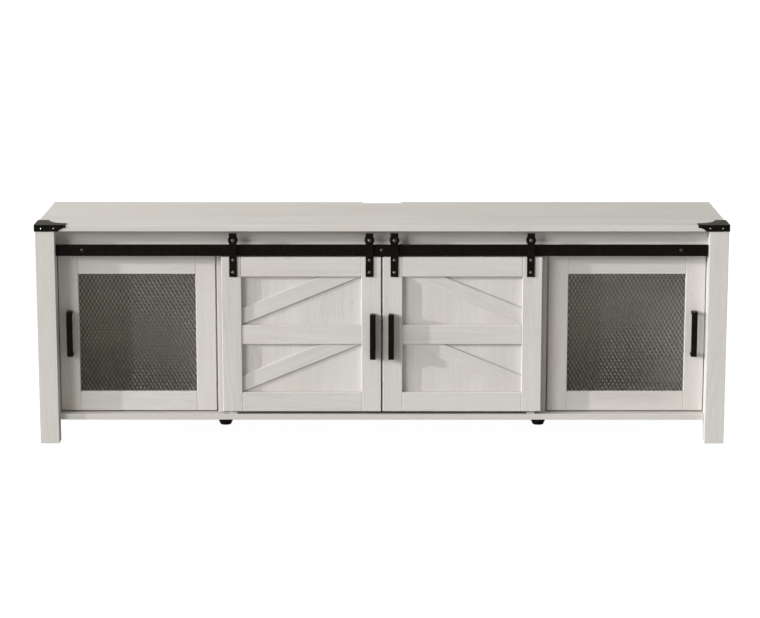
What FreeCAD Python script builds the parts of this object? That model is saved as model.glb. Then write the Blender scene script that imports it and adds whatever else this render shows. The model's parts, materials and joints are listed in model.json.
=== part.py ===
import FreeCAD, Part
import os
import re

# A low, wide television stand. Four square legs stand outside the side panels; a full-width
# fascia hides behind the front edge of the top and carries a flat steel rail. Two barn doors
# hang on the rail and slide outwards over two inset doors filled with expanded metal.
# X runs to the right, Y from front to back, Z up. The origin is on the floor, under the middle
# of the whole object. Depths are counted from the front faces of the legs.

SIZES = [
    ("body_w", 1800, "width over the legs"),
    ("body_d", 400, "depth over the legs"),
    ("body_high", 583, "height to the top surface"),
    ("board", 15.5, "thickness of every board"),
    ("ease", 0.9, "bevel along every board edge"),
    ("door_ease", 1.4, "bevel along the edges of a door's frame boards"),
    ("over", 1, "how far a cutting shape runs past what it cuts"),
    ("slack", 0.3, "clearance round parts that move or are let in"),
    ("leg_w", 50, "leg, side to side"),
    ("leg_d", 40, "leg, front to back"),
    ("pad_thick", 1.5, "nylon pad under a leg"),
    ("pad_r", 14, "radius of that pad"),
    ("floor_gap", 61, "floor to the underside of the bottom panel"),
    ("bottom_set", 19, "bottom panel behind the legs' front"),
    ("fascia_set", 43, "fascia behind the legs' front"),
    ("fascia_high", 66.5, "height of the fascia"),
    ("back_set", 391, "back panels behind the legs' front"),
    ("back_thick", 3, "thickness of the back panels"),
    ("notch_w", 106, "width of the cable notch in the top"),
    ("notch_d", 20, "depth of the cable notch"),
    ("divider_x", 432.5, "outer face of a divider from the middle"),
    ("shelf_z", 290, "underside of the shelf"),
    ("shelf_set", 70, "shelf behind the legs' front"),
    ("shelf_play", 1, "gap behind the shelf and at each end"),
    ("pin_r", 2.5, "radius of a shelf pin"),
    ("pin_front", 40, "front shelf pins behind the shelf's front"),
    ("pin_rear", 60, "rear shelf pins before the back panels"),
    ("pin_out", 9, "shelf pin beyond the divider"),
    ("pin_in", 8, "shelf pin inside the divider"),
    ("cam_r", 7.5, "radius of a cam lock"),
    ("cam_high", 12, "height of a cam lock"),
    ("cam_side", 24, "cam lock beside the upright that it pulls"),
    ("cam_front", 90, "front cam locks behind the legs' front"),
    ("cam_rear", 60, "rear cam locks before the back panels"),
    ("corner_arm", 80, "corner bracket along each edge"),
    ("corner_tip", 28, "width of the bracket's tips"),
    ("corner_thick", 2, "thickness of the bracket"),
    ("corner_scoop", 26, "radius of the hollow at the end of a flange"),
    ("corner_nose", 5.5, "height left at the end of a flange"),
    ("tack_r", 1.9, "head radius of a bracket screw"),
    ("tack_high", 1, "head height of a bracket screw"),
    ("tack_near", 16, "first bracket screw from the corner"),
    ("tack_far", 49, "second bracket screw from the corner"),
    ("rail_set", 11, "rail behind the legs' front"),
    ("rail_thick", 5, "thickness of the rail"),
    ("rail_high", 30, "height of the rail"),
    ("rail_play", 2, "gap at each end of the rail"),
    ("rail_bolt_x", 779, "outer rail bolts from the middle"),
    ("bolt_r", 3, "shank radius of a rail bolt"),
    ("head_r", 5, "head radius of the larger bolts"),
    ("head_high", 2.5, "head height of the larger bolts"),
    ("spacer_r", 8, "outer radius of a rail spacer"),
    ("barn_w", 416, "width of a barn door"),
    ("barn_high", 412, "height of a barn door"),
    ("barn_z", 86, "bottom of the barn doors"),
    ("barn_set", 9, "barn doors behind the legs' front"),
    ("meet_gap", 4, "gap between the two barn doors"),
    ("frame_w", 51.5, "width of the frame boards of a barn door"),
    ("frame_thick", 14.5, "thickness of those frame boards"),
    ("mid_set", 2, "middle rail of a barn door behind its stiles"),
    ("panel_thick", 9, "thickness of the board behind them"),
    ("brace_w", 40, "width of a diagonal brace"),
    ("brace_thick", 5.5, "thickness of a diagonal brace"),
    ("groove_w", 4.2, "width of the guide groove"),
    ("groove_high", 9, "depth of the guide groove"),
    ("groove_in", 2.4, "guide groove behind the frame boards"),
    ("strap_w", 20, "width of a hanger strap"),
    ("strap_thick", 3, "thickness of a hanger strap"),
    ("strap_high", 115, "length of a hanger strap"),
    ("strap_in", 30.5, "hanger centre from the edge of its door"),
    ("strap_low", 12, "lower hanger screw above the strap's end"),
    ("strap_mid", 44, "upper hanger screw above the strap's end"),
    ("screw_r", 2, "shank radius of the small screws"),
    ("screw_stop", 3, "wood left behind the point of a strap screw"),
    ("screw_head_r", 4.2, "head radius of the small screws"),
    ("screw_head_high", 2, "head height of the small screws"),
    ("cross_long", 4.4, "length of a small screw's crossed slots"),
    ("cross_w", 0.9, "width of those slots"),
    ("cross_deep", 1.1, "depth of those slots"),
    ("socket_r", 2.3, "corner radius of the hexagonal sockets of the larger bolts"),
    ("socket_deep", 1.7, "depth of those sockets"),
    ("roller_r", 13, "radius of a roller's flanges"),
    ("tread_r", 11.2, "radius of a roller's tread"),
    ("flange_thick", 1.2, "thickness of a roller flange"),
    ("tread_w", 5.6, "width of the tread"),
    ("axle_r", 3, "radius of a roller axle"),
    ("nut_thick", 3, "thickness of the nut behind a roller"),
    ("fit", 0.08, "radial running clearance of axles and pivots"),
    ("pull_high", 120, "length of a handle"),
    ("pull_w", 15, "width of a handle"),
    ("pull_thick", 8, "thickness of a mesh door's handle bar"),
    ("pull_reach", 24, "mesh door handle in front of its door"),
    ("grip_reach", 24, "barn door handle in front of its door"),
    ("grip_web", 11, "width of that handle where it meets the door"),
    ("grip_lip", 7, "thickness of that handle's wider front"),
    ("pull_z", 230, "bottom of the handles"),
    ("barn_pull_x", 24, "barn door handle from the middle"),
    ("mesh_pull_x", 819.5, "mesh door handle from the middle"),
    ("guide_x", 392, "door guide from the middle"),
    ("guide_w", 16, "guide blade, side to side"),
    ("guide_base_w", 22, "guide base, side to side"),
    ("guide_base_d", 10, "guide base, front to back"),
    ("guide_base_high", 4, "height of the guide base"),
    ("blade_thick", 3, "thickness of the guide blade"),
    ("blade_high", 17, "guide blade above the bottom panel"),
    ("mesh_set", 45, "mesh doors behind the legs' front"),
    ("mesh_z", 80, "bottom of the mesh doors"),
    ("mesh_high", 419, "height of the mesh doors"),
    ("latch_gap", 2, "gap beside a mesh door at its handle"),
    ("hinge_gap", 4, "gap beside a mesh door at its pivot"),
    ("stile_w", 52, "width of the mesh door's frame boards"),
    ("sheet_thick", 2, "thickness of the expanded metal"),
    ("sheet_in", 6.5, "expanded metal behind the door's front"),
    ("sheet_hold", 6, "expanded metal let into the frame"),
    ("pivot_in", 10, "pivot from the edge of its door"),
    ("pivot_r", 2.5, "radius of a pivot pin"),
    ("pivot_long", 10, "pivot pin beyond the door"),
    ("pivot_deep", 14, "pivot pin inside the door"),
    ("bush_r", 4, "outer radius of a pivot bush"),
    ("bush_long", 10, "length of a pivot bush"),
    ("catch_w", 12, "door catch, side to side"),
    ("catch_d", 26, "door catch, front to back"),
    ("catch_high", 40, "height of a door catch"),
    ("catch_z", 452, "underside of a door catch"),
    ("catch_gap", 1, "gap between a catch and its strike plate"),
    ("strike_thick", 1, "thickness of a strike plate"),
    ("foot_x", 425, "centre foot from the middle"),
    ("foot_set", 222, "centre feet behind the legs' front"),
    ("foot_r", 18.6, "radius of a centre foot"),
    ("foot_lift", 6, "foot sleeve above the floor"),
    ("foot_round", 1.8, "bevel round the lower end of a foot sleeve"),
    ("glide_r", 16, "radius of the adjustable glide"),
    ("glide_round", 2, "bevel round the glide's lower edge"),
    ("glide_high", 14, "height of the glide's pad"),
    ("glide_room", 22, "depth of the recess for that pad"),
    ("stem_r", 5, "radius of the glide's screw"),
    ("stem_high", 26, "length of the glide's screw"),
    ("stem_room", 50, "depth of the hole for the screw"),
]

doc = FreeCAD.newDocument("tv_stand")
sheet = doc.addObject("Spreadsheet::Sheet", "Sizes")
for row, (alias, number, meaning) in enumerate(SIZES, start=1):
    sheet.set(f"A{row}", meaning)
    sheet.set(f"B{row}", str(number))
    sheet.setAlias(f"B{row}", alias)
doc.recompute()

ALIASES = {alias for alias, number, meaning in SIZES}
NODES = []

# Places that several pieces share, as formulas in the sheet's aliases
FRONT = "(-(body_d - grip_reach + barn_set) / 2)"  # Y of the legs' front faces
LEG_X = "(body_w / 2 - leg_w)"  # inner face of a leg
TOP_Z = "(body_high - board)"  # underside of the top
FLOOR_Z = "(floor_gap + board)"  # top of the bottom panel
FASCIA_Z = f"({TOP_Z} - fascia_high)"
INNER_X = "(divider_x - board)"  # inner face of a divider
BARN_X = "(meet_gap / 2)"  # inner edge of a barn door
BARN_END_X = f"({BARN_X} + barn_w)"  # outer edge of a barn door
BARN_TOP_Z = "(barn_z + barn_high)"
MESH_X = "(divider_x + hinge_gap)"  # pivot edge of a mesh door
MESH_END_X = f"({LEG_X} - latch_gap)"  # handle edge of a mesh door
MESH_TOP_Z = "(mesh_z + mesh_high)"
PIVOT_X = f"({MESH_X} + pivot_in)"
AXLE_Z = f"({FASCIA_Z} + rail_high + tread_r + slack)"
RAIL_MID_Z = f"({FASCIA_Z} + rail_high / 2)"
MESH_MID = "(mesh_set + board / 2)"  # middle of a mesh door's thickness


def formula(text):
    """A formula with each alias spelt the way the sheet's readers need it."""

    def spell(word):
        return "Sizes." + word.group(0) if word.group(0) in ALIASES else word.group(0)

    return re.sub(r"[a-z]\w*", spell, text)


def bind(item, **properties):
    for name, text in properties.items():
        item.setExpression(name.replace("__", "."), formula(str(text)))


def put(item, x, y, z, turn=None):
    """Place an item, turned first when it doesn't stand upright."""
    if turn:
        item.Placement = FreeCAD.Placement(FreeCAD.Vector(), FreeCAD.Rotation(*turn))
    bind(item, Placement__Base__x=x, Placement__Base__y=y, Placement__Base__z=z)
    return item


def deep(distance):
    """The Y of a place this far behind the legs' front faces."""
    return f"({FRONT} + {distance})"


def box(xs, ys, zs):
    """A block between pairs of limits. Its Y limits are depths behind the legs' front."""
    item = doc.addObject("Part::Box", "block")
    bind(
        item,
        Length=f"{xs[1]} - ({xs[0]})",
        Width=f"{ys[1]} - ({ys[0]})",
        Height=f"{zs[1]} - ({zs[0]})",
    )
    return put(item, xs[0], deep(f"({ys[0]})"), zs[0])


def eased(block, bevel_alias="ease"):
    """A block with a small bevel along all twelve edges."""
    item = doc.addObject("Part::Chamfer", "board")
    item.Base = block
    bevel = sheet.get(bevel_alias)
    item.Edges = [(edge, bevel, bevel) for edge in range(1, 13)]
    return item


def board(xs, ys, zs):
    return eased(box(xs, ys, zs))


def frame_board(xs, ys, zs):
    return eased(box(xs, ys, zs), "door_ease")


TURNS = {
    "up": None,
    "front": (FreeCAD.Vector(1, 0, 0), 90),
    "back": (FreeCAD.Vector(1, 0, 0), -90),
    "left": (FreeCAD.Vector(0, 1, 0), -90),
    "right": (FreeCAD.Vector(0, 1, 0), 90),
    "down": (FreeCAD.Vector(1, 0, 0), 180),
}


def rod(way, x, depth, z, radius, length):
    """A round bar that starts at a point and runs the named way."""
    item = doc.addObject("Part::Cylinder", "rod")
    bind(item, Radius=radius, Height=length)
    return put(item, x, deep(f"({depth})"), z, TURNS[way])


def cone(x, depth, z, low_radius, high_radius, height):
    """An upright round piece whose radius changes evenly from its lower end to its upper end."""
    item = doc.addObject("Part::Cone", "cone")
    bind(item, Radius1=low_radius, Radius2=high_radius, Height=height)
    return put(item, x, deep(f"({depth})"), z)


def dome(way, x, depth, z, radius, height):
    """A domed screw head whose flat side is centred on a point and whose crown looks the named way."""
    ball = f"((({radius}) ^ 2 + ({height}) ^ 2) / (2 * ({height})))"
    sunk = f"({ball} - ({height}))"
    item = doc.addObject("Part::Sphere", "dome")
    bind(item, Radius=ball, Angle1=f"asin({sunk} / {ball})")
    shift = {"front": (0, 1), "back": (0, -1), "left": (1, 0), "right": (-1, 0)}[way]
    return put(
        item,
        f"({x}) + {shift[0]} * {sunk}",
        deep(f"({depth}) + {shift[1]} * {sunk}"),
        z,
        TURNS[way],
    )


def cut(base, *tools):
    item = doc.addObject("Part::Cut", "cut")
    item.Base = base
    item.Tool = tools[0] if len(tools) == 1 else group(*tools)
    return item


def fuse(*pieces):
    item = doc.addObject("Part::MultiFuse", "fused")
    item.Shapes = list(pieces)
    return item


def common(first, second):
    item = doc.addObject("Part::Common", "common")
    item.Base = first
    item.Tool = second
    return item


def group(*pieces):
    """Separate solids kept together as one item."""
    item = doc.addObject("Part::Compound", "group")
    item.Links = list(pieces)
    return item


def mirror(source):
    """The same shape on the other side of the middle."""
    item = doc.addObject("Part::Mirroring", "mirrored")
    item.Source = source
    item.Base = (0, 0, 0)
    item.Normal = (1, 0, 0)
    return item


def node(label, item):
    """Keep an item as a sub-part of its own under this name."""
    item.Label = label
    NODES.append(item)
    return item


def pair(name, item):
    """A sub-part of the right half and its mirror image in the left half."""
    node("right_" + name, item)
    node("left_" + name, mirror(item))


def screw(way, x, depth, z, reach):
    """A small domed screw: its head stands on a point and its shank runs the opposite way."""
    back = {"front": "back", "back": "front"}[way]
    crown = {"front": f"{depth} - screw_head_high", "back": f"{depth} + screw_head_high"}[way]
    ys = (f"{crown} - cross_deep", f"{crown} + cross_deep")
    half_long = "cross_long / 2"
    half_wide = "cross_w / 2"
    slots = [
        box((f"{x} - {across}", f"{x} + {across}"), ys, (f"{z} - {upright}", f"{z} + {upright}"))
        for across, upright in ((half_long, half_wide), (half_wide, half_long))
    ]
    return fuse(
        cut(dome(way, x, depth, z, "screw_head_r", "screw_head_high"), fuse(*slots)),
        rod(back, x, depth, z, "screw_r", reach),
    )


def bolt_head(x, depth, z):
    """The domed head of a larger bolt, looking to the front, with a hexagonal socket."""
    socket = doc.addObject("Part::Prism", "socket")
    socket.Polygon = 6
    bind(socket, Circumradius="socket_r", Height="socket_deep + over")
    put(socket, x, deep(f"({depth} - head_high + socket_deep)"), z, TURNS["front"])
    return cut(dome("front", x, depth, z, "head_r", "head_high"), socket)


def pilot(way, x, depth, z, reach):
    """The hole for a small screw."""
    return rod(way, x, depth, z, "screw_r + slack / 3", reach)


# ---- carcass ----------------------------------------------------------------------------


def make_top():
    half = "body_w / 2"
    slab = board((f"-{half}", half), ("0", "body_d"), (TOP_Z, "body_high"))
    notch = box(
        ("-notch_w / 2", "notch_w / 2"),
        ("body_d - notch_d", "body_d + notch_d"),
        (f"{TOP_Z} - notch_d", "body_high + notch_d"),
    )
    node("top_panel", cut(slab, notch))


def make_bottom():
    slab = board((f"-{LEG_X}", LEG_X), ("bottom_set", "back_set"), ("floor_gap", FLOOR_Z))
    holes = [cam(x, depth, "cam_r + slack / 3", "cam_high + slack") for x, depth in cam_places()]
    holes += [
        rod("down", f"{side} * {PIVOT_X}", MESH_MID, FLOOR_Z, "bush_r + slack / 3", "bush_long")
        for side in (1, -1)
    ]
    node("bottom_panel", cut(slab, *holes))


def cam_places():
    """Where the cam locks pull the uprights down onto the bottom panel."""
    return [
        (f"{side} * ({upright})", depth)
        for side in (1, -1)
        for upright in (f"{LEG_X} - cam_side", "divider_x + cam_side")
        for depth in ("cam_front", "back_set - cam_rear")
    ]


def cam(x, depth, radius, height):
    return rod("up", x, depth, "floor_gap", radius, height)


def make_legs():
    for name, depth in (("front", "0"), ("back", "body_d - leg_d")):
        leg = board((LEG_X, "body_w / 2"), (depth, f"{depth} + leg_d"), ("pad_thick", TOP_Z))
        pair(f"{name}_leg", leg)


def make_uprights():
    side = board((LEG_X, f"{LEG_X} + board"), ("leg_d", "body_d - leg_d"), ("floor_gap", TOP_Z))
    pair("side_panel", side)
    web = board((INNER_X, "divider_x"), ("mesh_set", "back_set"), (FLOOR_Z, TOP_Z))
    rebate = box(
        (f"{INNER_X} - over", "divider_x + over"),
        ("mesh_set - over", "fascia_set + board"),
        (FASCIA_Z, f"{TOP_Z} + over"),
    )
    holes = [
        rod("right", INNER_X, depth, "shelf_z - pin_r", "pin_r + slack / 3", "pin_in")
        for depth in pin_depths()
    ]
    pair("divider", cut(web, rebate, *holes))


def pin_depths():
    return ("shelf_set + pin_front", "back_set - pin_rear")


def make_fascia():
    slab = board((f"-{LEG_X}", LEG_X), ("fascia_set", "fascia_set + board"), (FASCIA_Z, TOP_Z))
    holes = [
        rod("back", x, "fascia_set - over", RAIL_MID_Z, "bolt_r + slack / 3", "board + 2 * over")
        for x in rail_bolt_places()
    ]
    holes += [
        rod("up", f"{side} * {PIVOT_X}", MESH_MID, FASCIA_Z, "bush_r + slack / 3", "bush_long")
        for side in (1, -1)
    ]
    node("front_fascia", cut(slab, *holes))


def make_back():
    depths = ("back_set", "back_set + back_thick")
    heights = ("floor_gap", TOP_Z)
    middle = "(divider_x - board / 2)"
    node("centre_back_panel", box((f"-{middle}", middle), depths, heights))
    pair("back_panel", box((middle, LEG_X), depths, heights))


def make_shelf():
    end = f"({INNER_X} - shelf_play)"
    depths = ("shelf_set", "back_set - shelf_play")
    node("shelf", board((f"-{end}", end), depths, ("shelf_z", "shelf_z + board")))
    pins = [
        rod(way, f"{side} * ({INNER_X} - pin_out)", depth, "shelf_z - pin_r", "pin_r", "pin_out + pin_in")
        for side, way in ((1, "right"), (-1, "left"))
        for depth in pin_depths()
    ]
    node("shelf_pins", group(*pins))


def make_fastenings():
    locks = [cam(x, depth, "cam_r", "cam_high") for x, depth in cam_places()]
    node("cam_locks", group(*locks))
    pads = [
        rod("up", f"{side} * (body_w - leg_w) / 2", depth, "0", "pad_r", "pad_thick")
        for side in (1, -1)
        for depth in ("leg_d / 2", "body_d - leg_d / 2")
    ]
    node("leg_pads", group(*pads))


def make_corner_brackets():
    corner = "(body_w / 2 + corner_thick)"
    inner_x = "(body_w / 2 - corner_arm)"
    skin = "corner_thick"
    hollow = f"{skin} + 2 * over"
    plate = cut(
        box((inner_x, corner), (f"-{skin}", "corner_arm"), ("body_high", f"body_high + {skin}")),
        rod("up", inner_x, "corner_arm", "body_high - over", "corner_arm - corner_tip", hollow),
    )
    scoop_z = "body_high - corner_nose - corner_scoop"
    front = cut(
        box((inner_x, corner), (f"-{skin}", "0"), (TOP_Z, "body_high")),
        rod("back", inner_x, f"-{skin} - over", scoop_z, "corner_scoop", hollow),
    )
    side = cut(
        box(("body_w / 2", corner), ("0", "corner_arm"), (TOP_Z, "body_high")),
        rod("right", "body_w / 2 - over", "corner_arm", scoop_z, "corner_scoop", hollow),
    )
    pair("corner_bracket", fuse(plate, front, side))


def make_bracket_screws():
    heads = []
    height = "body_high - board / 2"
    for along in ("tack_near", "tack_far"):
        for side, way in ((1, "right"), (-1, "left")):
            across = f"{side} * (body_w / 2 - {along})"
            heads.append(dome("front", across, "-corner_thick", height, "tack_r", "tack_high"))
            face = f"{side} * (body_w / 2 + corner_thick)"
            heads.append(dome(way, face, along, height, "tack_r", "tack_high"))
    node("bracket_screws", group(*heads))


# ---- rail and feet ----------------------------------------------------------------------


def rail_bolt_places():
    return ("-rail_bolt_x", "0", "rail_bolt_x")


def make_rail():
    end = f"({LEG_X} - rail_play)"
    heights = (FASCIA_Z, f"{FASCIA_Z} + rail_high")
    bar = box((f"-{end}", end), ("rail_set", "rail_set + rail_thick"), heights)
    holes = [
        rod("back", x, "rail_set - over", RAIL_MID_Z, "bolt_r + slack / 3", "rail_thick + 2 * over")
        for x in rail_bolt_places()
    ]
    node("door_rail", cut(bar, *holes))
    gap = "fascia_set - rail_set - rail_thick"
    tubes = [
        cut(
            rod("back", x, "rail_set + rail_thick", RAIL_MID_Z, "spacer_r", gap),
            rod("back", x, "rail_set", RAIL_MID_Z, "bolt_r + slack / 3", "fascia_set"),
        )
        for x in rail_bolt_places()
    ]
    node("rail_spacers", group(*tubes))
    bolts = [
        fuse(
            bolt_head(x, "rail_set", RAIL_MID_Z),
            rod("back", x, "rail_set", RAIL_MID_Z, "bolt_r", "fascia_set + board - rail_set"),
        )
        for x in rail_bolt_places()
    ]
    node("rail_bolts", group(*bolts))


def make_guides():
    middle = "(barn_set + frame_thick + groove_in + groove_w / 2)"
    guides = []
    for side in (1, -1):
        x = f"({side} * guide_x)"
        base = box(
            (f"{x} - guide_base_w / 2", f"{x} + guide_base_w / 2"),
            (f"{middle} - guide_base_d / 2", f"{middle} + guide_base_d / 2"),
            (FLOOR_Z, f"{FLOOR_Z} + guide_base_high"),
        )
        blade = box(
            (f"{x} - guide_w / 2", f"{x} + guide_w / 2"),
            (f"{middle} - blade_thick / 2", f"{middle} + blade_thick / 2"),
            (FLOOR_Z, f"{FLOOR_Z} + blade_high"),
        )
        guides.append(fuse(base, blade))
    node("door_guides", group(*guides))


def make_feet():
    at = ("foot_x", "foot_set")
    straight = "(foot_lift + foot_round)"
    outside = fuse(
        cone(*at, "foot_lift", "foot_r - foot_round", "foot_r", "foot_round"),
        rod("up", *at, straight, "foot_r", f"floor_gap - {straight}"),
    )
    sleeve = cut(
        outside,
        rod("up", *at, "foot_lift - over", "glide_r + slack", "glide_room + over"),
        rod("up", *at, "foot_lift", "stem_r + slack", "stem_room"),
    )
    node("foot_sleeves", group(sleeve, mirror(sleeve)))
    glide = fuse(
        cone(*at, "0", "glide_r - glide_round", "glide_r", "glide_round"),
        rod("up", *at, "glide_round", "glide_r", "glide_high - glide_round"),
        rod("up", *at, "glide_high", "stem_r", "stem_high"),
    )
    pair("foot_glide", glide)


# ---- barn doors -------------------------------------------------------------------------

STRAP_Z = f"({BARN_TOP_Z} - frame_w)"
STRAP_XS = (f"({BARN_END_X} - strap_in)", f"({BARN_X} + strap_in)")
FRAME_BACK = "(barn_set + frame_thick)"
BARN_BACK = "(barn_set + frame_thick + panel_thick)"
HANDLE_SCREW_ZS = ("pull_z + pull_thick / 2", "pull_z + pull_high - pull_thick / 2")
HANGER_SCREW_ZS = (f"{STRAP_Z} + strap_low", f"{STRAP_Z} + strap_mid")
BAY_HIGH = "((barn_high - 3 * frame_w) / 2)"  # height of each recessed bay
ROLLER_WIDE = "(tread_w + 2 * flange_thick)"
ROLLER_FRONT = f"(rail_set + (rail_thick - {ROLLER_WIDE}) / 2)"
BAY_XS = (f"{BARN_X} + frame_w", f"{BARN_END_X} - frame_w")


def make_barn_back_board():
    slab = box((BARN_X, BARN_END_X), (FRAME_BACK, BARN_BACK), ("barn_z", BARN_TOP_Z))
    groove = box(
        (f"{BARN_X} - over", f"{BARN_END_X} + over"),
        (f"{FRAME_BACK} + groove_in", f"{FRAME_BACK} + groove_in + groove_w"),
        ("barn_z - over", "barn_z + groove_high"),
    )
    holes = [pilot("back", "barn_pull_x", FRAME_BACK, z, "panel_thick") for z in HANDLE_SCREW_ZS]
    pair("barn_panel", cut(slab, groove, *holes))


def make_barn_frame():
    depths = ("barn_set", FRAME_BACK)
    heights = ("barn_z", BARN_TOP_Z)
    inner = frame_board((BARN_X, f"{BARN_X} + frame_w"), depths, heights)
    outer = frame_board((f"{BARN_END_X} - frame_w", BARN_END_X), depths, heights)
    holes = [
        pilot("back", x, "barn_set", z, "frame_thick - screw_stop + over")
        for x in STRAP_XS
        for z in HANGER_SCREW_ZS
    ]
    holes += [pilot("back", "barn_pull_x", "barn_set", z, "frame_thick") for z in HANDLE_SCREW_ZS]
    pair("barn_stiles", group(cut(inner, *holes[2:]), cut(outer, *holes[:2])))
    rails = []
    for step, face in enumerate(("barn_set", "barn_set + mid_set", "barn_set")):
        low = f"(barn_z + {step} * (frame_w + {BAY_HIGH}))"
        rails.append(frame_board(BAY_XS, (face, FRAME_BACK), (low, f"{low} + frame_w")))
    pair("barn_rails", group(*rails))


def make_barn_braces():
    """The lower edge of each brace falls from its bay's top inner corner to the bottom outer one."""
    front = f"({FRAME_BACK} - brace_thick)"
    braces = []
    for step in range(2):
        low = f"(barn_z + frame_w + {step} * (frame_w + {BAY_HIGH}))"
        bay = box(BAY_XS, (front, FRAME_BACK), (low, f"{low} + {BAY_HIGH}"))
        lath = doc.addObject("Part::Box", "lath")
        bind(lath, Length="barn_w", Width="brace_thick", Height="brace_w")
        put(lath, BAY_XS[0], deep(front), f"{low} + {BAY_HIGH}", TURNS["right"])
        bind(lath, Placement__Rotation__Angle=f"atan({BAY_HIGH} / (barn_w - 2 * frame_w))")
        braces.append(common(eased(lath), bay))
    pair("barn_braces", group(*braces))


def make_mesh_handles():
    """A strap bent to a U, standing on the door's face."""
    face = "(mesh_set - pull_reach)"
    outer = eased(
        box(
            ("mesh_pull_x - pull_w / 2", "mesh_pull_x + pull_w / 2"),
            (face, "mesh_set"),
            ("pull_z", "pull_z + pull_high"),
        )
    )
    gap = box(
        ("mesh_pull_x - pull_w", "mesh_pull_x + pull_w"),
        (f"{face} + pull_thick", "mesh_set + over"),
        ("pull_z + pull_thick", "pull_z + pull_high - pull_thick"),
    )
    pair("mesh_handle", cut(outer, gap))


def make_barn_handles():
    """A bar with a wider front, closed along its whole length."""
    face = "(barn_set - grip_reach)"
    heights = ("pull_z", "pull_z + pull_high")
    lip = eased(
        box(("barn_pull_x - pull_w / 2", "barn_pull_x + pull_w / 2"), (face, f"{face} + grip_lip"), heights)
    )
    web = box(
        ("barn_pull_x - grip_web / 2", "barn_pull_x + grip_web / 2"),
        (f"{face} + grip_lip / 2", "barn_set"),
        ("pull_z + ease", "pull_z + pull_high - ease"),
    )
    pair("barn_handle", fuse(lip, web))


def make_hangers():
    straps = []
    before = "barn_set - strap_thick - over"
    for x in STRAP_XS:
        xs = (f"{x} - strap_w / 2", f"{x} + strap_w / 2")
        strap = box(xs, ("barn_set - strap_thick", "barn_set"), (STRAP_Z, f"{STRAP_Z} + strap_high"))
        holes = [pilot("back", x, before, z, "strap_thick + 2 * over") for z in HANGER_SCREW_ZS]
        holes.append(rod("back", x, before, AXLE_Z, "axle_r + slack / 3", "strap_thick + 2 * over"))
        straps.append(cut(strap, *holes))
    pair("barn_hangers", group(*straps))


def make_barn_fixings():
    face = "(barn_set - strap_thick)"
    fixings = []
    for x in STRAP_XS:
        for z in HANGER_SCREW_ZS:
            fixings.append(screw("front", x, face, z, "strap_thick + frame_thick - screw_stop"))
        nut = f"({ROLLER_FRONT} + {ROLLER_WIDE} + slack)"
        axle = fuse(
            bolt_head(x, face, AXLE_Z),
            rod("back", x, face, AXLE_Z, "axle_r", f"{nut} + nut_thick - {face}"),
            rod("back", x, nut, AXLE_Z, "head_r", "nut_thick"),
        )
        fixings.append(axle)
    for z in HANDLE_SCREW_ZS:
        fixings.append(screw("back", "barn_pull_x", BARN_BACK, z, "frame_thick + panel_thick"))
    pair("barn_fixings", group(*fixings))


def make_rollers():
    for place, x in zip(("outer", "inner"), STRAP_XS):
        far_flange = f"{ROLLER_FRONT} + flange_thick + tread_w"
        wheel = fuse(
            rod("back", x, ROLLER_FRONT, AXLE_Z, "roller_r", "flange_thick"),
            rod("back", x, ROLLER_FRONT, AXLE_Z, "tread_r", ROLLER_WIDE),
            rod("back", x, far_flange, AXLE_Z, "roller_r", "flange_thick"),
        )
        bore = rod("back", x, f"{ROLLER_FRONT} - over", AXLE_Z, "axle_r + fit", f"{ROLLER_WIDE} + 2 * over")
        pair(f"{place}_roller", cut(wheel, bore))


# ---- mesh doors -------------------------------------------------------------------------

MESH_BACK = "(mesh_set + board)"
SHEET_DEPTH = "(mesh_set + sheet_in)"


def make_mesh_frame():
    depths = ("mesh_set", MESH_BACK)
    heights = ("mesh_z", MESH_TOP_Z)
    slot = box(
        (f"{MESH_X} + stile_w - sheet_hold", f"{MESH_END_X} - stile_w + sheet_hold"),
        (SHEET_DEPTH, f"{SHEET_DEPTH} + sheet_thick + slack"),
        ("mesh_z + stile_w - sheet_hold", f"{MESH_TOP_Z} - stile_w + sheet_hold"),
    )
    pivots = [
        rod("up", PIVOT_X, MESH_MID, z, "pivot_r + slack / 3", "pivot_deep")
        for z in ("mesh_z", f"{MESH_TOP_Z} - pivot_deep")
    ]
    pilots = [pilot("back", "mesh_pull_x", "mesh_set", z, "board") for z in HANDLE_SCREW_ZS]
    inner = frame_board((MESH_X, f"{MESH_X} + stile_w"), depths, heights)
    outer = frame_board((f"{MESH_END_X} - stile_w", MESH_END_X), depths, heights)
    pair("mesh_stiles", group(cut(inner, slot, *pivots), cut(outer, slot, *pilots)))
    xs = (f"{MESH_X} + stile_w", f"{MESH_END_X} - stile_w")
    low = frame_board(xs, depths, ("mesh_z", "mesh_z + stile_w"))
    high = frame_board(xs, depths, (f"{MESH_TOP_Z} - stile_w", MESH_TOP_Z))
    pair("mesh_rails", group(cut(low, slot), cut(high, slot)))


def make_mesh_sheet():
    margin = "(stile_w - sheet_hold + slack)"
    pair(
        "mesh_sheet",
        box(
            (f"{MESH_X} + {margin}", f"{MESH_END_X} - {margin}"),
            (f"{SHEET_DEPTH} + slack / 2", f"{SHEET_DEPTH} + slack / 2 + sheet_thick"),
            (f"mesh_z + {margin}", f"{MESH_TOP_Z} - {margin}"),
        ),
    )


def make_mesh_fixings():
    pins = [
        rod("up", PIVOT_X, MESH_MID, z, "pivot_r", "pivot_deep + pivot_long")
        for z in ("mesh_z - pivot_long", f"{MESH_TOP_Z} - pivot_deep")
    ]
    pair("mesh_pivots", group(*pins))
    screws = [screw("back", "mesh_pull_x", MESH_BACK, z, "board") for z in HANDLE_SCREW_ZS]
    strike = box(
        (f"{MESH_END_X} - catch_w", f"{MESH_END_X} - door_ease"),
        (MESH_BACK, f"{MESH_BACK} + strike_thick"),
        ("catch_z", "catch_z + catch_high"),
    )
    pair("mesh_fixings", group(strike, *screws))


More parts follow.
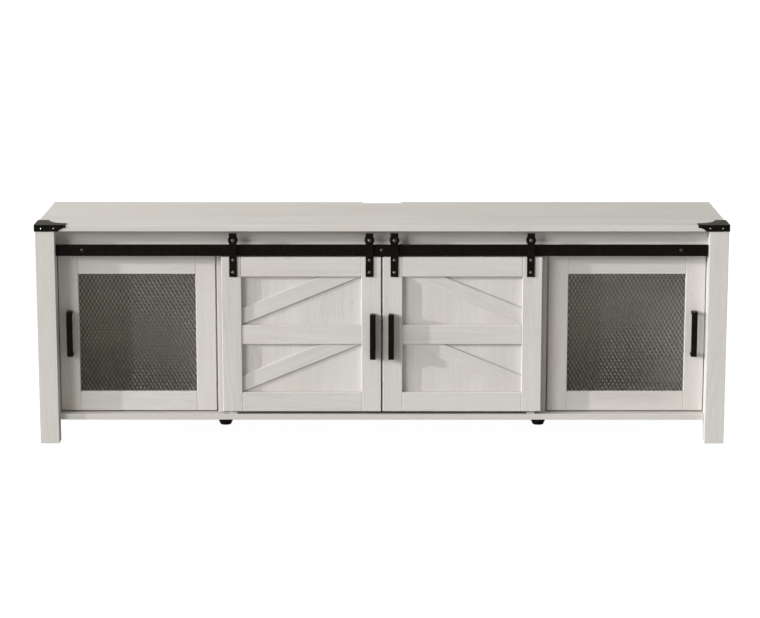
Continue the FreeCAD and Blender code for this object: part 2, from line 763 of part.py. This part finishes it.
def make_pivot_bushes():
    bushes = []
    for side in (1, -1):
        x = f"{side} * {PIVOT_X}"
        for way, z in (("down", FLOOR_Z), ("up", FASCIA_Z)):
            bushes.append(
                cut(
                    rod(way, x, MESH_MID, z, "bush_r", "bush_long"),
                    rod(way, x, MESH_MID, z, "pivot_r + fit", "bush_long - over"),
                )
            )
    node("pivot_bushes", group(*bushes))


def make_catches():
    face = f"({MESH_BACK} + strike_thick + catch_gap)"
    catch = box(
        (f"{LEG_X} - catch_w", LEG_X), (face, f"{face} + catch_d"), ("catch_z", "catch_z + catch_high")
    )
    node("door_catches", group(catch, mirror(catch)))


make_top()
make_bottom()
make_legs()
make_uprights()
make_fascia()
make_back()
make_shelf()
make_fastenings()
make_corner_brackets()
make_bracket_screws()
make_rail()
make_guides()
make_feet()
make_barn_back_board()
make_barn_frame()
make_barn_braces()
make_barn_handles()
make_hangers()
make_barn_fixings()
make_rollers()
make_mesh_frame()
make_mesh_sheet()
make_mesh_handles()
make_mesh_fixings()
make_pivot_bushes()
make_catches()
doc.recompute()

for item in doc.Objects:
    if "Invalid" in item.State or "Error" in item.State:
        raise RuntimeError(f"{item.Label} did not recompute: {item.State}")
for item in NODES:
    if item.Shape.isNull() or not item.Shape.isValid():
        raise RuntimeError(f"{item.Label} has no valid shape")

os.makedirs("parts", exist_ok=True)
for item in NODES:
    item.Shape.exportStep(f"parts/{item.Label}.step")
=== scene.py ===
import json
import math
import random

import bmesh
import bpy
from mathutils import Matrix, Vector


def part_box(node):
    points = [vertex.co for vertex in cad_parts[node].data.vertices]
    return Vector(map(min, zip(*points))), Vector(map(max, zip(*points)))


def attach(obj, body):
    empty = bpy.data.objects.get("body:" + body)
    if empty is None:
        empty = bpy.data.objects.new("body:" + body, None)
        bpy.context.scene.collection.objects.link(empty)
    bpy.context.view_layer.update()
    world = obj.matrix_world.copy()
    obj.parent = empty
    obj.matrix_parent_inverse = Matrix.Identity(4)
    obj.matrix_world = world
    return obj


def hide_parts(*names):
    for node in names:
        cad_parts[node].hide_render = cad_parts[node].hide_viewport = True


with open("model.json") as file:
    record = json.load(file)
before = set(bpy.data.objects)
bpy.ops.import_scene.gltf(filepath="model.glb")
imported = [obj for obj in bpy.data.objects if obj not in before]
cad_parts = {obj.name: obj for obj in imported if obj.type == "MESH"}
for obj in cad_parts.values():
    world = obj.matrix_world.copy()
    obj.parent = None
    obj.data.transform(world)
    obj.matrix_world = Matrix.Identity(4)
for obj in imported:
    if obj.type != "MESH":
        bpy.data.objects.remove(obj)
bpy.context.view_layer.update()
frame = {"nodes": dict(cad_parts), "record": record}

# The looks of a low television stand. All lengths are in metres. X runs to the right, Y from
# front to back and Z up. The CAD nodes keep their shapes and get procedural finishes. Two new
# pieces stand in for the plain sheets of the mesh doors, and a third is the back panels' nails.

MM = 0.001
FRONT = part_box("left_front_leg")[0].y  # the front faces of the legs


# ---- node trees -------------------------------------------------------------------------


class Paint:
    """A new material, its Principled shader, and short ways to build the nodes behind it."""

    def __init__(self, name, **fixed):
        self.material = bpy.data.materials.new(name)
        self.material.use_nodes = True
        self.tree = self.material.node_tree
        self.shader = self.tree.nodes["Principled BSDF"]
        for socket, value in fixed.items():
            self.shader.inputs[socket.replace("_", " ")].default_value = value

    def node(self, kind):
        return self.tree.nodes.new("ShaderNode" + kind)

    def fill(self, socket, value):
        """Link a socket or set it. None leaves it alone."""
        if isinstance(value, bpy.types.NodeSocket):
            self.tree.links.new(value, socket)
        elif value is not None:
            socket.default_value = value

    def add(self, kind, *inputs, out=0, **settings):
        """A node with its first inputs filled in order."""
        node = self.node(kind)
        for name, value in settings.items():
            setattr(node, name, value)
        for socket, value in zip(node.inputs, inputs):
            self.fill(socket, value)
        return node.outputs[out]

    def math(self, operation, *values):
        return self.add("Math", *values, operation=operation)

    def plus(self, first, second):
        return self.math("ADD", first, second)

    def minus(self, first, second):
        return self.math("SUBTRACT", first, second)

    def times(self, first, second):
        return self.math("MULTIPLY", first, second)

    def vector(self, operation, *values):
        return self.add("VectorMath", *values, operation=operation)

    def axes(self, vector):
        """The X, Y and Z of a vector."""
        node = self.node("SeparateXYZ")
        self.fill(node.inputs[0], vector)
        return node.outputs

    def noise(self, place, scale, detail=2.0, rough=0.5):
        node = self.node("TexNoise")
        inputs = {"Vector": place, "Scale": scale, "Detail": detail, "Roughness": rough}
        for name, value in inputs.items():
            self.fill(node.inputs[name], value)
        return node.outputs["Fac"]

    def span(self, value, low, high, to_low=0.0, to_high=1.0, smooth=False):
        """The value carried from one range to another, and held at the ends."""
        kind = "SMOOTHSTEP" if smooth else "LINEAR"
        return self.add("MapRange", value, low, high, to_low, to_high, interpolation_type=kind)

    def spread(self, noise, low, high):
        """A noise carried from 0.3 to 0.7, where most of it lies, to a range of its own."""
        return self.span(noise, 0.3, 0.7, low, high)

    def mix(self, share, first, second):
        """A colour between two others."""
        node = self.node("Mix")
        node.data_type = "RGBA"
        colours = [socket for socket in node.inputs if socket.type == "RGBA"]
        self.fill(node.inputs["Factor"], share)
        self.fill(colours[0], first)
        self.fill(colours[1], second)
        return next(socket for socket in node.outputs if socket.type == "RGBA")

    def place(self):
        """Where a point is in the piece's own frame."""
        return self.add("TexCoord", out=3)

    def facing(self):
        """The surface's own normal in the piece's frame."""
        return self.add("TexCoord", out=1)

    def surface(self, colour, rough):
        self.fill(self.shader.inputs["Base Color"], colour)
        self.fill(self.shader.inputs["Roughness"], rough)

    def bump(self, height, depth, strength):
        node = self.node("Bump")
        node.inputs["Strength"].default_value = strength
        node.inputs["Distance"].default_value = depth
        self.fill(node.inputs["Height"], height)
        self.fill(self.shader.inputs["Normal"], node.outputs["Normal"])


def grey(level, warmth):
    """A warm grey. Warmth 0 is neutral and warmth 1 is the foil's own hue."""
    return (level, level * (1 - 0.037 * warmth), level * (1 - 0.086 * warmth), 1)


# ---- whitewashed oak foil -----------------------------------------------------------------

# sizes of the print's features, across the grain and along it
SLOW_TONE = (0.11, 0.75)
STREAK = (0.016, 0.34)
FINE_LINE = (0.0032, 0.12)
RING_WANDER = (0.09, 0.42)
RING_PATCH = (0.06, 0.5)
PORE = (0.0011, 0.026)
PORE_PATCH = (0.03, 0.2)
KNOT_CELL = (0.16, 0.42)
BLUSH = (0.045, 0.22)

HEART_PITCH = 0.075  # width of the strips that the growth rings are mirrored in
HEART_SWAY = 0.030  # how far the rings wander to each side
RINGS_PER_METRE = 170.0
RING_SLANTS = (0.045, -0.055, 0.065)  # across by along
KNOT_RADIUS = (0.012, 0.034)  # full and faded, as shares of a cell

# how much each feature shows in the colour
RINGS_SHOW = 0.30
BLUSH_SHOWS = 0.5
PORES_SHOW = 0.42
KNOTS_SHOW = 0.55
WEAR_AND_HIGHLIGHT_SHOWS = 0.5

OAK_DARK = grey(0.60, 1.25)
OAK_PALE = grey(0.725, 0.8)
# paler foil on the bevels: wear, and a painted edge highlight
OAK_WORN_AND_HIGHLIT = grey(0.76, 0.8)
BLUSH_COLOUR = (0.665, 0.617, 0.565, 1)
PORE_COLOUR = (0.45, 0.415, 0.365, 1)
KNOT_COLOUR = (0.26, 0.225, 0.18, 1)


def grain_frame(paint, along, thin, slope, offset):
    """Coordinates across a board, through it and along its grain."""
    place = paint.place()
    if slope:
        turned = paint.node("Mapping")
        turned.inputs["Rotation"].default_value = (0, slope, 0)
        paint.fill(turned.inputs["Vector"], place)
        place = turned.outputs["Vector"]
    parts = paint.axes(place)
    across = 3 - along - thin
    joined = paint.add("CombineXYZ", parts[across], parts[thin], parts[along])
    return paint.vector("ADD", joined, offset)


def growth_rings(paint, place, printed, slant):
    """Lines at even distances from a heart that wanders slowly beside the board."""
    parts = paint.axes(place)
    wander = paint.span(printed(RING_WANDER, 1.5), 0.2, 0.8, -HEART_SWAY, HEART_SWAY)
    cell = paint.math("PINGPONG", parts[0], HEART_PITCH)
    distance = paint.plus(paint.plus(cell, wander), paint.times(parts[2], slant))
    count = paint.times(distance, RINGS_PER_METRE)
    rings = paint.add("TexNoise", None, count, 1.0, 2.0, noise_dimensions="1D")
    lines = paint.span(rings, 0.42, 0.62, smooth=True)
    patches = paint.span(printed(RING_PATCH, 1.0), 0.42, 0.66, smooth=True)
    return paint.times(lines, patches)


def worn_and_highlit_bevels(paint, streak):
    """1 on the slanting faces between two flat ones, less in some streaks."""
    parts = paint.axes(paint.vector("ABSOLUTE", paint.facing()))
    steepest = paint.math("MAXIMUM", paint.math("MAXIMUM", parts[0], parts[1]), parts[2])
    bevel = paint.span(steepest, 0.80, 0.97, 1.0, 0.0)
    return paint.times(bevel, paint.span(streak, 0.35, 0.65, 0.25, 1.0))


def oak(name, along, thin, slope=0.0):
    """Pale foil printed with oak: slow tone, streaks, growth rings, pores and small knots."""
    luck = random.Random(name)
    paint = Paint(name, Specular_IOR_Level=0.35)
    offset = [luck.uniform(-3, 3) for axis in range(3)]
    place = grain_frame(paint, along, thin, slope, offset)

    def stretched(feature):
        across, length = feature
        return paint.vector("MULTIPLY", place, (1 / across, 1 / across, 1 / length))

    def printed(feature, *detail):
        return paint.noise(stretched(feature), 1.0, *detail)

    slow = printed(SLOW_TONE, 2.0)
    streak = printed(STREAK, 3.0, 0.6)
    fine = printed(FINE_LINE, 2.0)
    rings = growth_rings(paint, place, printed, luck.choice(RING_SLANTS))
    pores = paint.times(
        paint.span(printed(PORE, 1.0), 0.60, 0.72, smooth=True),
        paint.span(printed(PORE_PATCH, 1.0), 0.40, 0.62),
    )
    cells = paint.node("TexVoronoi")
    paint.fill(cells.inputs["Vector"], stretched(KNOT_CELL))
    cells.inputs["Scale"].default_value = 1.0
    knots = paint.span(cells.outputs["Distance"], *KNOT_RADIUS, 1.0, 0.0, smooth=True)
    knots = paint.times(knots, paint.span(fine, 0.35, 0.6, 0.4, 1.0))

    tone = paint.plus(paint.spread(slow, 0.30, 0.70), paint.spread(streak, -0.17, 0.17))
    tone = paint.plus(tone, paint.spread(fine, -0.08, 0.08))
    tone = paint.minus(tone, paint.times(rings, RINGS_SHOW))
    colour = paint.mix(tone, OAK_DARK, OAK_PALE)
    blush = paint.span(printed(BLUSH, 2.0), 0.53, 0.72, 0.0, BLUSH_SHOWS, smooth=True)
    colour = paint.mix(blush, colour, BLUSH_COLOUR)
    colour = paint.mix(paint.times(pores, PORES_SHOW), colour, PORE_COLOUR)
    colour = paint.mix(paint.times(knots, KNOTS_SHOW), colour, KNOT_COLOUR)
    if not slope:
        # the foil is paler on the bevels: wear where boards are handled, and a painted highlight on
        # the edges
        worn_and_highlit = paint.times(worn_and_highlit_bevels(paint, streak), WEAR_AND_HIGHLIGHT_SHOWS)
        colour = paint.mix(worn_and_highlit, colour, OAK_WORN_AND_HIGHLIT)

    rough = paint.plus(paint.spread(streak, 0.50, 0.60), paint.times(pores, 0.12))
    paint.surface(colour, rough)

    height = paint.plus(paint.times(fine, 0.5), paint.times(streak, 0.5))
    height = paint.minus(height, paint.times(pores, 0.8))
    height = paint.minus(height, paint.times(rings, 0.25))
    paint.bump(height, 0.35 * MM, 0.55)
    return paint.material


# ---- hardboard ----------------------------------------------------------------------------

BOARD_DARK = grey(0.68, 1.3)
BOARD_PALE = grey(0.77, 1.0)
SPECK_COLOUR = (0.34, 0.29, 0.23, 1)
FIBRES_PER_METRE = (420.0, 420.0, 160.0)
PAINTED_BAY_SHADE = grey(0.62, 2.0)
PAINTED_BAY_LIGHT = grey(0.94, 1.7)
PAINTED_LIGHT_RISE = (0.10, 0.46)  # heights where the painted shade is darkest and the painted light palest


def hardboard():
    """Thin board: pressed fibres and specks outside. Its front is painted with the light inside
    the bays: painted shade low down, getting paler towards the top."""
    paint = Paint("hardboard", Specular_IOR_Level=0.25)
    place = paint.place()
    mottle = paint.noise(place, 9.0, 3.0)
    fibres = paint.noise(paint.vector("MULTIPLY", place, FIBRES_PER_METRE), 1.0, 3.0, 0.65)
    specks = paint.span(paint.noise(place, 900.0, 1.0), 0.66, 0.74, 0.0, 0.35)
    tone = paint.plus(paint.spread(mottle, 0.3, 0.7), paint.spread(fibres, -0.25, 0.25))
    colour = paint.mix(tone, BOARD_DARK, BOARD_PALE)
    colour = paint.mix(specks, colour, SPECK_COLOUR)
    # painted light and shade: the panel's front is darker low in the bays and paler towards the top
    foil = paint.mix(paint.span(paint.axes(place)[2], *PAINTED_LIGHT_RISE), PAINTED_BAY_SHADE, PAINTED_BAY_LIGHT)
    to_the_front = paint.span(paint.axes(paint.facing())[1], -0.6, -0.5, 1.0, 0.0)
    colour = paint.mix(to_the_front, colour, foil)
    paint.surface(colour, paint.spread(fibres, 0.62, 0.78))
    paint.bump(fibres, 0.3 * MM, 0.4)
    return paint.material


# ---- metal and plastic ------------------------------------------------------------------

DUST_AND_SHEEN_COLOUR = (0.078, 0.074, 0.066, 1)
ZINC_COLOURS = ((0.46, 0.465, 0.47, 1), (0.54, 0.525, 0.47, 1))
STEEL_COLOURS = ((0.038, 0.034, 0.027, 1), (0.055, 0.050, 0.040, 1))


def warm_black(level):
    return (level, level * 0.85, level * 0.60, 1)


def powder_coat(name, level, shine, rough, grain=2600.0, lacquer=0.0):
    """Black powder coat: fine orange peel, greyer in patches, with dust and a painted sheen on what
    faces up.
    """
    paint = Paint(
        name, Specular_IOR_Level=shine, Coat_Weight=lacquer, Coat_Roughness=0.08, Coat_IOR=1.9
    )
    place = paint.place()
    peel = paint.noise(place, grain, 2.0)
    dust = paint.noise(place, 60.0, 4.0, 0.6)
    worn = paint.span(dust, 0.45, 0.75)
    # what faces up is paler: dust, and a painted sheen from the light falling from above
    upward = paint.span(paint.axes(paint.facing())[2], 0.6, 0.95)
    dust_and_sheen = paint.times(upward, paint.spread(dust, 0.75, 1.0))
    colour = paint.mix(worn, warm_black(level), warm_black(1.8 * level))
    colour = paint.mix(dust_and_sheen, colour, DUST_AND_SHEEN_COLOUR)
    paint.surface(colour, paint.spread(dust, rough - 0.05, rough + 0.07))
    paint.bump(peel, 0.12 * MM, 0.35)
    return paint.material


def zinc():
    """Bright zinc plate with a faint yellow bloom."""
    paint = Paint("zinc", Metallic=1.0)
    place = paint.place()
    bloom = paint.noise(place, 240.0, 3.0)
    brushed = paint.noise(place, 3000.0, 2.0)
    paint.surface(paint.mix(bloom, *ZINC_COLOURS), paint.spread(brushed, 0.24, 0.42))
    paint.bump(brushed, 0.06 * MM, 0.3)
    return paint.material


def expanded_steel():
    """Dark satin paint on expanded steel: it flows into slightly paler patches."""
    paint = Paint("expanded_steel", Specular_IOR_Level=0.5)
    place = paint.place()
    flow = paint.noise(place, 90.0, 3.0)
    peel = paint.noise(place, 2200.0, 2.0)
    paint.surface(paint.mix(flow, *STEEL_COLOURS), paint.spread(peel, 0.38, 0.48))
    paint.bump(peel, 0.1 * MM, 0.3)
    return paint.material


def moulded(name, level, rough, warmth=0.0):
    """Moulded plastic: a fine spark-eroded texture and faint flow marks."""
    paint = Paint(name, Specular_IOR_Level=0.4)
    place = paint.place()
    texture = paint.noise(place, 3200.0, 3.0, 0.6)
    flow = paint.noise(place, 45.0, 2.0)
    colour = paint.mix(flow, grey(level * 0.9, warmth), grey(level * 1.15, warmth))
    paint.surface(colour, paint.spread(texture, rough - 0.06, rough + 0.08))
    paint.bump(texture, 0.12 * MM, 0.4)
    return paint.material


# ---- which finish each node gets ----------------------------------------------------------

FINISHES = {
    "back_board": hardboard(),
    "mesh_metal": expanded_steel(),
    "black_metal": powder_coat("black_powder_coat", 0.0048, shine=0.07, rough=0.50),
    "black_bolts": powder_coat(
        "black_oxide", 0.0080, shine=0.6, rough=0.20, grain=4000.0, lacquer=1.0
    ),
    "satin_bolts": powder_coat(
        "satin_oxide", 0.0060, shine=0.35, rough=0.34, grain=4000.0, lacquer=0.2
    ),
    "screw_steel": zinc(),
    "black_nylon": moulded("black_nylon", 0.012, rough=0.42),
    "white_nylon": moulded("white_nylon", 0.66, rough=0.45, warmth=0.6),
    "black_plastic": moulded("black_plastic", 0.006, rough=0.5),
}
SLOTS = {part["node"]: part["material_slot"] for part in frame["record"]["subparts"]}
OWN_FINISH = {"rail_bolts": "satin_bolts"}  # glossier than the rail, whose slot they share
LEAN = {"left_barn_braces": 1, "right_barn_braces": -1}


def brace_angle(node):
    """How far a barn door's braces lean. Its rails reach from stile to stile."""
    low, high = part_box(node.replace("braces", "rails"))
    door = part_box(node.replace("braces", "stiles"))
    frame_w = low.x - door[0].x
    bay_high = (door[1].z - door[0].z - 3 * frame_w) / 2
    return LEAN[node] * math.atan(bay_high / (high.x - low.x))


def finish_for(node):
    slot = OWN_FINISH.get(node, SLOTS[node])
    if not slot.startswith("wood"):
        return FINISHES[slot]
    if slot == "wood_slope":
        return oak("oak_" + node, 0, 1, brace_angle(node))
    low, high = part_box(node)
    size = high - low
    thin = min(range(3), key=lambda axis: size[axis])
    along = 0 if slot == "wood_long" else 2
    return oak("oak_" + node, along, thin)


for name, item in frame["nodes"].items():
    item.data.materials.clear()
    item.data.materials.append(finish_for(name))


# ---- new pieces ---------------------------------------------------------------------------


def added(name, data):
    """A new object in the scene."""
    item = bpy.data.objects.new(name, data)
    bpy.context.scene.collection.objects.link(item)
    return item


def piece_of(shape, name, slot):
    """The object that a finished shape becomes, with one of the finishes."""
    bmesh.ops.recalc_face_normals(shape, faces=shape.faces)
    mesh = bpy.data.meshes.new(name)
    shape.to_mesh(mesh)
    shape.free()
    mesh.materials.append(FINISHES[slot])
    return added(name, mesh)


# ---- expanded metal ---------------------------------------------------------------------

PITCH = 5.25 * MM  # from one strand to the next
PERIOD = 18.2 * MM  # height of a diamond
RISING = (1.6 * MM, math.radians(-38))  # width and twist of the strands that lean to the right
FALLING = (1.8 * MM, math.radians(34))  # and of those that lean to the left
DASH = (0.04, 0.80)  # between these shares of its length a rising strand has its own twist
STRAND_T = 0.6 * MM
BOND = 2.8 * MM  # height over which neighbouring strands hold together
LET_IN = 4 * MM  # how far the sheet runs into the frame's slots at the sides
END_GAP = 1.5 * MM  # from a strand's end to the end of the CAD sheet
CORNERS = ((-1, -1), (1, -1), (1, 1), (-1, 1))


def zigzag(x, middle, low, high, parity):
    """The points of one strand from low to high, each with the strand's width and twist."""
    swing = (PITCH - (RISING[0] + FALLING[0]) / 2) / 2
    half = PERIOD / 2
    points = []
    step = math.floor(low / half)
    while step * half <= high + half:
        side = 1 if (step + parity) % 2 else -1
        places = [(side, -BOND / 2, FALLING), (side, BOND / 2, FALLING)]
        if side < 0:
            places += [
                (2 * share - 1, BOND / 2 + share * (half - BOND), RISING) for share in DASH
            ]
        for sway, rise, form in places:
            point = Vector((x + sway * swing, middle, step * half + rise))
            if low <= point.z <= high:
                points.append((point, form))
        step += 1
    return points


def strand(shape, points):
    """A closed ribbon along the points, twisted one way and then the other."""
    rings = []
    for index, (point, (width, twist)) in enumerate(points):
        before = points[max(index - 1, 0)][0]
        after = points[min(index + 1, len(points) - 1)][0]
        run = (after - before).normalized()
        across = Vector((run.z, 0, -run.x))
        normal = Vector((0, 1, 0))
        wide = across * math.cos(twist) + normal * math.sin(twist)
        thick = normal * math.cos(twist) - across * math.sin(twist)
        ring = []
        for a, b in CORNERS:
            place = point + wide * (a * width / 2) + thick * (b * STRAND_T / 2)
            ring.append(shape.verts.new(place))
        rings.append(ring)
    for lower, upper in zip(rings, rings[1:]):
        for corner in range(4):
            following = (corner + 1) % 4
            shape.faces.new((lower[corner], lower[following], upper[following], upper[corner]))
    shape.faces.new(rings[0][::-1])
    shape.faces.new(rings[-1])


def expanded_sheet(side):
    """Strands side by side, in place of a mesh door's plain sheet."""
    node = f"{side}_mesh_sheet"
    low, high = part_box(node)
    frame_low, frame_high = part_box(f"{side}_mesh_rails")
    middle = (low.y + high.y) / 2
    shape = bmesh.new()
    x = frame_low.x - LET_IN
    parity = 0
    while x <= frame_high.x + LET_IN:
        strand(shape, zigzag(x, middle, low.z + END_GAP, high.z - END_GAP, parity))
        x += PITCH
        parity += 1
    piece = piece_of(shape, f"{side}_expanded_metal", "mesh_metal")
    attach(piece, f"{side}_mesh_door")
    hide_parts(node)
    piece.visible_diffuse = False  # bounced light passes it, into the bays


for side in ("left", "right"):
    expanded_sheet(side)


# ---- nails of the back panels -----------------------------------------------------------

NAIL_R = 2.4 * MM
NAIL_HIGH = 0.7 * MM
NAIL_IN = 8 * MM  # from the edge of a panel
NAIL_STEP = 95 * MM
NAIL_SIDES = 12
NAIL_RINGS = ((1.0, 0.0), (1.0, 0.45), (0.72, 0.85))  # radius and height, as shares


def nail(shape, x, y, z):
    """A flat domed head on the back of a panel."""
    rings = []
    for wide, high in NAIL_RINGS:
        ring = []
        for corner in range(NAIL_SIDES):
            turn = 2 * math.pi * corner / NAIL_SIDES
            radius = NAIL_R * wide
            place = (x + radius * math.cos(turn), y + NAIL_HIGH * high, z + radius * math.sin(turn))
            ring.append(shape.verts.new(place))
        rings.append(ring)
    crown = shape.verts.new((x, y + NAIL_HIGH, z))
    for corner in range(NAIL_SIDES):
        following = (corner + 1) % NAIL_SIDES
        for lower, upper in zip(rings, rings[1:]):
            shape.faces.new((lower[corner], upper[corner], upper[following], lower[following]))
        shape.faces.new((rings[-1][corner], crown, rings[-1][following]))
    shape.faces.new(rings[0])


def spaced(low, high):
    """Even places from low to high, about a nail step apart."""
    count = round((high - low) / NAIL_STEP)
    return [low + (high - low) * index / count for index in range(count + 1)]


def back_nails():
    """A row of nails round each back panel."""
    shape = bmesh.new()
    for node in ("left_back_panel", "centre_back_panel", "right_back_panel"):
        low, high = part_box(node)
        xs = spaced(low.x + NAIL_IN, high.x - NAIL_IN)
        zs = spaced(low.z + NAIL_IN, high.z - NAIL_IN)
        places = [(x, z) for x in xs for z in (zs[0], zs[-1])]
        places += [(x, z) for x in (xs[0], xs[-1]) for z in zs[1:-1]]
        for x, z in places:
            nail(shape, x, high.y, z)
    piece = piece_of(shape, "back_nails", "screw_steel")
    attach(piece, "cabinet")


back_nails()


# ---- studio -----------------------------------------------------------------------------

CAMERA_BACK = 6.27  # from the front faces of the legs
CAMERA_UP = 1.6165
AIM = Vector((-0.0050, FRONT, 0.3628))
LENS = 116.15
SENSOR = 36
CLIP_END = 100

AMBIENT = 0.28
AMBIENT_COLOUR = (1.0, 0.988, 0.875, 1)
ROOM_SEEN = (1, 1, 1, 1)  # the plain white that the camera sees past the floor
COOL_SUN = (1, 1, 1.03)
SUN_DISTANCE = 4  # where a sun's icon stands, which changes no light

FLOOR_HALF = 40
FLOOR_SEEN = (0.12, 0.12, 0.12, 1)  # what shows shadows on the floor's glow
FLOOR_GLOW = 0.97
FLOOR_LIT = (0.52, 0.52, 0.51, 1)  # what throws light back at the stand


def aimed(item, target):
    item.rotation_euler = (target - item.location).to_track_quat("-Z", "Y").to_euler()


def make_camera():
    data = bpy.data.cameras.new("camera")
    data.lens = LENS
    data.sensor_width = SENSOR
    data.clip_end = CLIP_END
    item = added("camera", data)
    item.location = (0, FRONT - CAMERA_BACK, CAMERA_UP)
    aimed(item, AIM)
    bpy.context.scene.camera = item


def toward(azimuth, elevation):
    """The direction of a light: azimuth 0 is straight in front, negative to the left."""
    turn, rise = math.radians(azimuth), math.radians(elevation)
    level = math.cos(rise)
    return Vector((math.sin(turn) * level, -math.cos(turn) * level, math.sin(rise)))


def sun(name, azimuth, elevation, strength, spread, colour=(1, 1, 1)):
    data = bpy.data.lights.new(name, "SUN")
    data.energy = strength
    data.angle = math.radians(spread)
    data.color = colour
    item = added(name, data)
    item.location = toward(azimuth, elevation) * SUN_DISTANCE
    aimed(item, Vector((0, 0, 0)))


def lamp(name, place, width, power):
    """A disc light that hangs in the room and looks straight down."""
    data = bpy.data.lights.new(name, "AREA")
    data.shape = "DISK"
    data.size = width
    data.energy = power
    added(name, data).location = place


def by_eye(tree, lit, seen, output):
    """One shader for the camera and another for the light that reaches the stand."""
    path = tree.nodes.new("ShaderNodeLightPath")
    mix = tree.nodes.new("ShaderNodeMixShader")
    tree.links.new(path.outputs["Is Camera Ray"], mix.inputs[0])
    tree.links.new(lit.outputs[0], mix.inputs[1])
    tree.links.new(seen.outputs[0], mix.inputs[2])
    tree.links.new(mix.outputs[0], tree.nodes[output].inputs[0])


def make_room():
    """Even light from all round, with plain white for the camera."""
    world = bpy.data.worlds.new("room")
    bpy.context.scene.world = world
    world.use_nodes = True
    tree = world.node_tree
    seen = tree.nodes.new("ShaderNodeBackground")
    seen.inputs["Color"].default_value = ROOM_SEEN
    lit = tree.nodes["Background"]
    lit.inputs["Color"].default_value = AMBIENT_COLOUR
    lit.inputs["Strength"].default_value = AMBIENT
    by_eye(tree, lit, seen, "World Output")


def make_floor():
    """A plain pale floor. To the camera it glows near white, so that it meets the room's white."""
    mesh = bpy.data.meshes.new("floor")
    corners = [(x * FLOOR_HALF, y * FLOOR_HALF, 0) for x, y in CORNERS]
    mesh.from_pydata(corners, [], [(0, 1, 2, 3)])
    floor = added("floor", mesh)
    material = bpy.data.materials.new("pale_floor")
    material.use_nodes = True
    tree = material.node_tree
    tree.nodes.remove(tree.nodes["Principled BSDF"])
    soft = tree.nodes.new("ShaderNodeBsdfDiffuse")
    soft.inputs["Color"].default_value = FLOOR_SEEN
    glow = tree.nodes.new("ShaderNodeEmission")
    glow.inputs["Strength"].default_value = FLOOR_GLOW
    seen = tree.nodes.new("ShaderNodeAddShader")
    tree.links.new(soft.outputs[0], seen.inputs[0])
    tree.links.new(glow.outputs[0], seen.inputs[1])
    lit = tree.nodes.new("ShaderNodeBsdfDiffuse")
    lit.inputs["Color"].default_value = FLOOR_LIT
    by_eye(tree, lit, seen, "Material Output")
    mesh.materials.append(material)


bpy.context.scene.view_settings.view_transform = "Standard"
make_camera()
make_room()
make_floor()
sun("front_left", azimuth=-44, elevation=17, strength=1.38, spread=24, colour=COOL_SUN)
sun("soft_left", azimuth=-62, elevation=20, strength=0.56, spread=22)
sun("low_left", azimuth=-74.7, elevation=12, strength=2.10, spread=1, colour=COOL_SUN)
sun("overhead", azimuth=0, elevation=85, strength=0.40, spread=30)
lamp("above_left", place=(-1.0, 0, 2.3), width=1.2, power=7.5)
sun("behind", azimuth=135, elevation=10, strength=1.2, spread=20)
